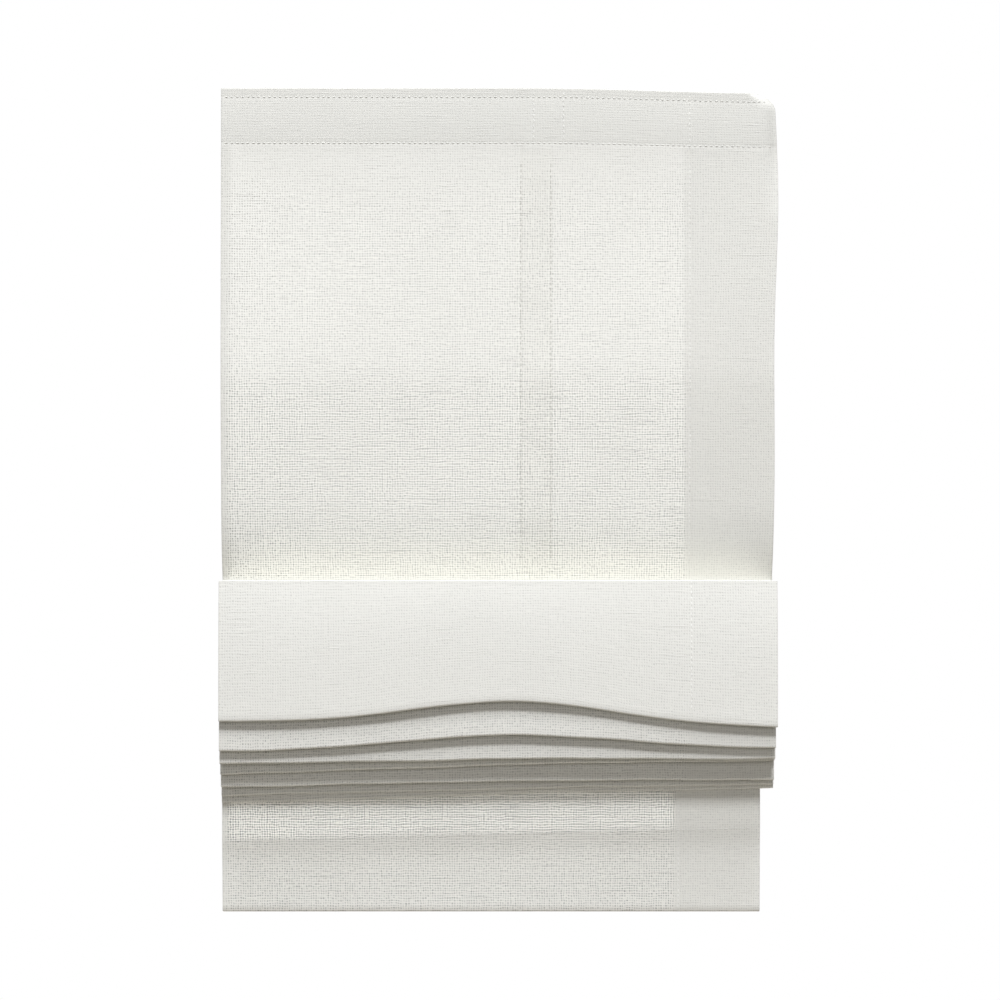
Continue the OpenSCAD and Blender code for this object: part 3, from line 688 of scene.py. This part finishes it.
# The tape's pockets: short loops of the same weave, caught down at top and bottom
pocketRows, pocketColumns = tapeShape["pocketGrid"]
pocketArch = np.sin(np.linspace(0, math.pi, pocketRows)) ** tapeShape["pocketArch"]
pocketStands = tapeShape["behind"] + tapeShape["pocketGap"] + tapeShape["pocketStands"] * pocketArch
pocketUv = pairs(np.linspace(0, tapeShape["pocketWidth"], pocketColumns)[None, :],
                 np.linspace(0, tapeShape["pocketLength"], pocketRows)[:, None])
pockets = {"points": [], "faces": [], "uv": []}
for depth in tapeShape["pocketDepths"]:
    start, stop = (rowAtDepth("panel", depth + d * tapeShape["pocketHeight"] / 2) for d in (-1, 1))
    rows = np.linspace(start, stop, pocketRows)
    grid = ribbonBehind(rows, tapeShape["pocketWidth"], pocketColumns, pocketStands[:, None])
    addGrid(pockets, grid, pocketUv)
tapePockets = newPiece("tape_pockets", np.concatenate(pockets["points"]), pockets["faces"], doubledTape,
                       uv=np.concatenate(pockets["uv"]))
print("back tape with", len(tapeShape["pocketDepths"]), "pockets")

# Sewing thread: spun polyester, a little shinier than the cloth, sunk into it at every needle hole
threadLook = {"colour": "#F6F5F0", "plyMm": 0.5, "plyDepthMm": 0.06}
shadeDarkTapeThreadLook = {**threadLook, "colour": "#A9A69B"}  # the tape's rows use a darker thread: painted shade of the dimples and needle holes along them


def threadMaterial(name, look):
    material, tree = newMaterial(name)
    place = addNode(tree, "TexCoord")["Object"]
    ply = noise(tree, place, 2.0, scale=metre / look["plyMm"])["Fac"]
    shade = mapped(tree, ply, (0.3, 0.7), (0.8, 1.0))
    body = addNode(tree, "BsdfPrincipled", {
        "Base Color": tinted(tree, look["colour"], shade), "Roughness": 0.6, "Sheen Weight": 0.2,
        "Normal": raised(tree, ply, look["plyDepthMm"], 0.6)})
    addNode(tree, "OutputMaterial", {"Surface": body[0]})
    return material


sewing = {
    "pitch": 4.2, "stitch": 3.3, "radius": 0.23, "sink": 0.16, "sides": 6, "rings": 5,
    "stray": (0.2, 0.12),  # along the seam and aside from it
    "arch": 0.6,  # power of its curve
    "stand": (1.5, 0.4),  # crown's height and depth of the ends, in radii
    "thin": 0.5,  # thickness of the ends, as a share of the crown's
    "fromEnds": (2, 3),  # a row across stops this far from the left and the right edge
    "headShift": 10,  # the rows on the heading stand to the right of the tape's
    "underStack": 24,  # rows of the tail that the stack hides
    "belowHem": 2.2,  # the bottom hem's row lies below the hem's upper edge
}


def sewAlong(seam, points, back):  # a row of stitches on the cloth's face along a line
    sides, rings, radius = sewing["sides"], sewing["rings"], sewing["radius"]
    strayAlong, strayAside = sewing["stray"]
    crown, under = sewing["stand"]
    arch = np.sin(np.linspace(0, math.pi, rings)) ** sewing["arch"]
    stand = radius * (crown * arch - under) - sewing["sink"] * (1 - arch)
    thick = radius * (sewing["thin"] + (1 - sewing["thin"]) * arch)
    angles = np.linspace(0, 2 * math.pi, sides, endpoint=False)
    step = np.concatenate([[0], np.cumsum(np.linalg.norm(np.diff(points, axis=0), axis=1))])
    for k in range(int(step[-1] / sewing["pitch"])):
        at = k * sewing["pitch"] + wobble.uniform(-strayAlong, strayAlong)
        at = at + sewing["stitch"] * np.linspace(0, 1, rings)
        path = np.stack([np.interp(at, step, points[:, a]) for a in range(3)], axis=-1)
        out = -np.stack([np.interp(at, step, back[:, a]) for a in range(3)], axis=-1)
        out /= np.linalg.norm(out, axis=1, keepdims=True)
        forward = np.gradient(path, axis=0)
        forward /= np.linalg.norm(forward, axis=1, keepdims=True)
        side = np.cross(forward, out)
        path = path + out * stand[:, None] + side * wobble.uniform(-strayAside, strayAside)
        ring = pairs(np.cos(angles), np.sin(angles)) @ np.stack([side, out], axis=1)
        base = len(seam["points"]) * rings * sides
        seam["points"].append((path[:, None, :] + thick[:, None, None] * ring).reshape(-1, 3))
        for r in range(rings - 1):
            for c in range(sides):
                here, beside = base + r * sides + c, base + r * sides + (c + 1) % sides
                seam["faces"].append([here, beside, beside + sides, here + sides])
        seam["faces"].append([base + c for c in range(sides)][::-1])
        seam["faces"].append([base + (rings - 1) * sides + c for c in range(sides)])


paleSeam, tapeSeam = {"points": [], "faces": []}, {"points": [], "faces": []}
*tapeLines, hemLine = sewnLines(clothShape)
seamEnds = (-clothShape["half"] + sewing["fromEnds"][0], clothShape["half"] - sewing["fromEnds"][1])
headingLine = np.linspace(*seamEnds, 260)
for depth in clothShape["heading"]["stitches"]:
    sewAlong(paleSeam, *onCloth(rowAtDepth("heading", depth), headingLine))
headRows = np.linspace(rowsOf("heading")[2], rowsOf("heading")[-1], 60)
panelRows = np.linspace(rowsOf("panel")[2], rowsOf("panel")[-3], 200)
for line in tapeLines:
    sewAlong(tapeSeam, *onCloth(panelRows, line))
    sewAlong(paleSeam, *onCloth(headRows, line + sewing["headShift"]))
flapRows = np.linspace(rowsOf("shoulder1")[2], rowsOf("front1")[-1], 120)
tailSeen = rowsOf("tail")
tailRows = np.linspace(tailSeen[0] + sewing["underStack"], tailSeen[-1], 120)
for rows in (headRows, panelRows, flapRows, tailRows):
    sewAlong(paleSeam, *onCloth(rows, hemLine))
tailLine = np.linspace(*seamEnds, 240)
tailZ = clothPoints[tailSeen, columnCount // 2, 2]
sewnZ = np.interp(tailLine, across, clothPoints[rowsOf("hemBack")[-1], :, 2]) - sewing["belowHem"]
sewAlong(paleSeam, *onCloth(np.interp(-sewnZ, -tailZ, tailSeen), tailLine))
stitching = newPiece("seam_stitching", np.concatenate(paleSeam["points"]), paleSeam["faces"],
                     threadMaterial("spunSewingThread", threadLook))
# Painted shade: the tape's stitches are darker than the sewing thread's own colour
tapeStitching = newPiece("tape_stitching", np.concatenate(tapeSeam["points"]), tapeSeam["faces"],
                         threadMaterial("shadeDarkSewingThread", shadeDarkTapeThreadLook))
print("stitches:", len(paleSeam["points"]) + len(tapeSeam["points"]))

# Rod pockets: narrow tubes of the same linen, sewn to the folds' back and open at the tape
sleeveShape = {
    "sides": 20,
    "step": 4.0,
    "fromTape": 3.5,  # a tube ends this far from the tape
    "slack": (0.12, 9),  # depth and reach of its wave
    "pinched": (0.04, 3),  # share by which its ends are drawn in, and over which length
    "seam": (0.2, 0.3),  # where the strip to the cloth leaves the tube
    "seamWave": (0.15, 5),
    "threadShift": 40,  # so that no two tubes show the same threads
}
sleeveGap = tapeShape["width"] / 2 + sleeveShape["fromTape"]
slack, slackReach = sleeveShape["slack"]
pinched, pinchedOver = sleeveShape["pinched"]
seamIn, seamUp = sleeveShape["seam"]
seamWave, seamReach = sleeveShape["seamWave"]
for i in range(1, 9):
    low, high = mmBox("rod_sleeve_%d" % i)
    rodLow, rodHigh = rodBoxes[i - 1]
    rodY, rodZ = (rodLow[1] + rodHigh[1]) / 2, (rodLow[2] + rodHigh[2]) / 2
    radius = high[1] - rodY
    sleeve = {"points": [], "faces": [], "uv": []}
    for x0, x1 in ((low[0], clothShape["tapeX"] - sleeveGap), (clothShape["tapeX"] + sleeveGap, high[0])):
        xs = np.linspace(x0, x1, max(6, int((x1 - x0) / sleeveShape["step"])))
        angles = np.linspace(0, 2 * math.pi, sleeveShape["sides"] + 1)
        loose = radius - slack * (1 + np.sin(xs / slackReach + i)[:, None] * np.cos(2 * angles + i)[None, :])
        loose = loose * (1 - pinched * (bump(xs, x0, pinchedOver) + bump(xs, x1, pinchedOver))[:, None])
        tube = np.stack([np.broadcast_to(xs[:, None], loose.shape), rodY + loose * np.cos(angles)[None, :],
                         rodZ + loose * np.sin(angles)[None, :]], axis=-1)
        addGrid(sleeve, tube, pairs(xs[:, None], radius * angles[None, :] + sleeveShape["threadShift"] * i))
        seamY = rodY - radius + seamIn
        strip = np.array([[[x, seamY, rodZ + seamUp], [x, low[1], rodZ + seamWave * math.sin(x / seamReach)]]
                          for x in xs])
        addGrid(sleeve, strip, strip[..., :2])
    pocket = newPiece("linen_rod_pocket_%d" % i, np.concatenate(sleeve["points"]), sleeve["faces"], linen,
                      uv=np.concatenate(sleeve["uv"]))
    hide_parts("rod_sleeve_%d" % i)
print("rod pockets ready")


# Hard parts keep their CAD shapes
def hardMaterial(name, look):  # colour, roughness and relief all vary with one grain
    material, tree = newMaterial(name)
    place = addNode(tree, "TexCoord")["Object"]
    fine = stretched(tree, place, look["grainMm"])
    grain = noise(tree, fine, look.get("detail", 3.0), roughness=0.55)["Fac"]
    patch = noise(tree, place, 2.0, scale=patchesPerMetre)["Fac"]
    tone = mapped(tree, grain, (0.3, 0.7), (1 - look["shade"], 1.0))
    tone = calc(tree, "MULTIPLY_ADD", patch, look["shade"] * 0.5, tone)
    body = addNode(tree, "BsdfPrincipled", {
        "Base Color": tinted(tree, look["colour"], tone), "Metallic": look.get("metallic", 0.0),
        "IOR": look.get("ior", 1.5), "Roughness": mapped(tree, grain, (0.25, 0.75), look["rough"]),
        "Coat Weight": look.get("coat", 0.0), "Coat Roughness": 0.3,
        "Normal": raised(tree, grain, look["reliefMm"], 0.5)})
    addNode(tree, "OutputMaterial", {"Surface": body[0]})
    return material


patchesPerMetre = 22.0
hardLooks = {
    # satin anodised extrusion: fine die lines along the rail
    "anodisedAluminium": {"colour": "#D3D4D6", "metallic": 1.0, "rough": (0.3, 0.44),
                          "grainMm": (60, 0.35, 0.35), "shade": 0.07, "reliefMm": 0.03},
    # pultruded glass fibre: milky resin with fibres along the rod
    "pultrudedGlassFibre": {"colour": "#E4E2D8", "rough": (0.25, 0.42), "ior": 1.54, "coat": 0.2,
                            "grainMm": (40, 0.3, 0.3), "shade": 0.12, "reliefMm": 0.03},
    # powder-coated steel: orange peel about 1.5 mm across
    "powderCoatedSteel": {"colour": "#EFEFED", "rough": (0.34, 0.5), "coat": 0.15,
                          "grainMm": (1.5, 1.5, 1.5), "shade": 0.03, "reliefMm": 0.05},
    # rolled spring steel: blue-grey with long rolling lines
    "rolledSpringSteel": {"colour": "#8F959D", "metallic": 1.0, "rough": (0.22, 0.36),
                          "grainMm": (30, 0.5, 0.5), "shade": 0.12, "reliefMm": 0.02},
    # moulded acetal: matt fine spark-eroded skin
    "mouldedAcetal": {"colour": "#ECEBE7", "rough": (0.42, 0.56), "ior": 1.48,
                      "grainMm": (0.5, 0.5, 0.5), "shade": 0.04, "reliefMm": 0.03},
    # moulded ABS in warm grey for the spring's case
    "mouldedGreyAbs": {"colour": "#8E8E8B", "rough": (0.45, 0.6), "ior": 1.53,
                       "grainMm": (0.6, 0.6, 0.6), "shade": 0.06, "reliefMm": 0.04},
    # nylon hook tape and brushed loop tape: a nap of about half a millimetre
    "nylonHookTape": {"colour": "#E6E4DC", "rough": (0.7, 0.85), "detail": 1.0,
                      "grainMm": (0.9, 0.9, 0.9), "shade": 0.2, "reliefMm": 0.5},
    "brushedLoopTape": {"colour": "#EFEDE7", "rough": (0.85, 0.95), "detail": 5.0,
                        "grainMm": (0.5, 0.5, 0.5), "shade": 0.16, "reliefMm": 0.4},
}
hardMaterials = {name: hardMaterial(name, look) for name, look in hardLooks.items()}

# Braided polyester cord: crossing strands, and a ridge for every turn on the spool
cordLook = {"colour": "#F0EFEA", "braidMm": 1.0, "strands": 1.6, "strandShare": 0.3, "depthMm": 0.2}
braid, braidTree = newMaterial("braidedPolyesterCord")
braidAxes = addNode(braidTree, "SeparateXYZ", {0: addNode(braidTree, "TexCoord")["Object"]})
turns = 2 * math.pi / (cordLook["braidMm"] * mm)
ridge = calc(braidTree, "COSINE", calc(braidTree, "MULTIPLY", braidAxes["X"], turns))
strand = calc(braidTree, "SINE", calc(braidTree, "MULTIPLY", braidAxes["Z"], turns * cordLook["strands"]))
woven = calc(braidTree, "MULTIPLY_ADD", strand, cordLook["strandShare"], ridge)
# Painted shade: the cord is darker in the hollows between its ridges and strands
cordShade = mapped(braidTree, woven, (-1.2, 1.2), (0.78, 1.0))
cordBody = addNode(braidTree, "BsdfPrincipled", {
    "Base Color": tinted(braidTree, cordLook["colour"], cordShade), "Roughness": 0.6, "Sheen Weight": 0.15,
    "Normal": raised(braidTree, woven, cordLook["depthMm"], 0.8)})
addNode(braidTree, "OutputMaterial", {"Surface": cordBody[0]})
hardMaterials["braidedPolyesterCord"] = braid

finishOf = {
    "anodisedAluminium": ["head_rail", "bottom_bar", "lift_shaft"],
    "pultrudedGlassFibre": ["rod_%d" % i for i in range(1, 9)],
    "powderCoatedSteel": ["wall_bracket_left", "wall_bracket_right"],
    "rolledSpringSteel": ["storage_pin", "spring_ribbon"],
    "mouldedAcetal": ["end_cap_left", "end_cap_right", "ring_clips", "spool_cradle", "cord_spool",
                      "output_drum", "storage_drum"],
    "mouldedGreyAbs": ["spring_case"],
    "nylonHookTape": ["hook_tape"],
    "brushedLoopTape": ["loop_tape"],
    "braidedPolyesterCord": ["lift_cord"],
}
softEdgeMm = {"head_rail": 0.25, "end_cap_left": 0.6, "end_cap_right": 0.6, "wall_bracket_left": 0.3,
              "wall_bracket_right": 0.3, "spool_cradle": 0.3, "spring_case": 0.3, "bottom_bar": 0.5,
              "lift_shaft": 0.4}
sharpDegrees = 40
for finish, names in finishOf.items():
    for name in names:
        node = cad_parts[name]
        node.data.materials.clear()
        node.data.materials.append(hardMaterials[finish])
        if name in softEdgeMm:  # broken edges catch the light
            edge = node.modifiers.new("brokenEdge", "BEVEL")
            edge.width = softEdgeMm[name] * mm
            edge.segments = 2
            edge.limit_method = "ANGLE"
            edge.angle_limit = math.radians(sharpDegrees)
print("hard parts finished")

# Camera level with the middle of the picture, square to the cloth
cameraShot = {"distance": 3.2, "pictureWidth": 0.780, "x": 0.002, "z": -0.2934, "plane": -0.0412,
              "sensor": 36, "farthest": 50}
camera = bpy.data.objects.new("camera", bpy.data.cameras.new("camera"))
camera.data.sensor_width = cameraShot["sensor"]
camera.data.lens = cameraShot["sensor"] * cameraShot["distance"] / cameraShot["pictureWidth"]
camera.location = (cameraShot["x"], cameraShot["plane"] - cameraShot["distance"], cameraShot["z"])
camera.rotation_euler = (math.radians(90), 0, 0)
camera.data.clip_end = cameraShot["farthest"]
scene.collection.objects.link(camera)
scene.camera = camera

# Distant studio lights: two from high in front, a weak one from low in front, one from below behind
studio = {
    "tint": "#F2F4F9",
    "surround": ("#FFEBCF", 0.06),
    "lights": {  # elevation, azimuth, strength and width; angles in degrees as seen from the blind
        "keyLight": (50, 5, 2.5, 11),
        "topLight": (69, 5, 2.9, 26),
        "fillLight": (14, -8, 0.6, 26),
        "backLight": (-35, 180, 1.0, 11),
    },
    "away": 3,
}
for name, (elevation, azimuth, strength, width) in studio["lights"].items():
    lamp = bpy.data.lights.new(name, "SUN")
    lamp.angle = math.radians(width)
    lamp.energy = strength
    lamp.color = linear(studio["tint"])[:3]
    holder = bpy.data.objects.new(name, lamp)
    rise, turn = math.radians(elevation), math.radians(azimuth)
    toLamp = Vector((math.sin(turn) * math.cos(rise), -math.cos(turn) * math.cos(rise), math.sin(rise)))
    holder.location = studio["away"] * toLamp
    holder.rotation_euler = (-toLamp).to_track_quat("-Z", "Y").to_euler()
    scene.collection.objects.link(holder)
world = bpy.data.worlds.new("studio")
scene.world = world
world.use_nodes = True
sky = world.node_tree
sky.nodes.clear()
ray = addNode(sky, "LightPath")
seen = calc(sky, "MAXIMUM", ray["Is Camera Ray"], ray["Is Glossy Ray"])
seen = calc(sky, "MAXIMUM", seen, ray["Is Transmission Ray"])
dim = addNode(sky, "Background", {"Color": linear(studio["surround"][0]), "Strength": studio["surround"][1]})
white = addNode(sky, "Background", {"Color": (1, 1, 1, 1), "Strength": 1.0})  # what the camera sees
mixed = addNode(sky, "MixShader", {0: seen, 1: dim[0], 2: white[0]})
addNode(sky, "OutputWorld", {"Surface": mixed[0]})

# Studio floor: matt painted board, a little uneven
floorLook = {"colour": "#DED7C9", "x": (-1.3, 1.3), "y": (-1.5, 1.1), "z": -2.1, "grain": 60.0}
floorMaterial, floorTree = newMaterial("paleStudioFloor")
grain = addNode(floorTree, "TexNoise", {"Scale": floorLook["grain"], "Detail": 4.0})
tone = mapped(floorTree, grain["Fac"], (0.3, 0.7), (0.96, 1.0))
board = addNode(floorTree, "BsdfPrincipled", {
    "Base Color": tinted(floorTree, floorLook["colour"], tone), "Roughness": 0.9})
addNode(floorTree, "OutputMaterial", {"Surface": board[0]})
(left, right), (near, far) = floorLook["x"], floorLook["y"]
floorCorners = [(x, y, floorLook["z"]) for x, y in ((left, near), (right, near), (right, far), (left, far))]
floorMesh = bpy.data.meshes.new("studioFloor")
floorMesh.from_pydata(floorCorners, [], [(0, 1, 2, 3)])
floorMesh.materials.append(floorMaterial)
floor = bpy.data.objects.new("studioFloor", floorMesh)
scene.collection.objects.link(floor)
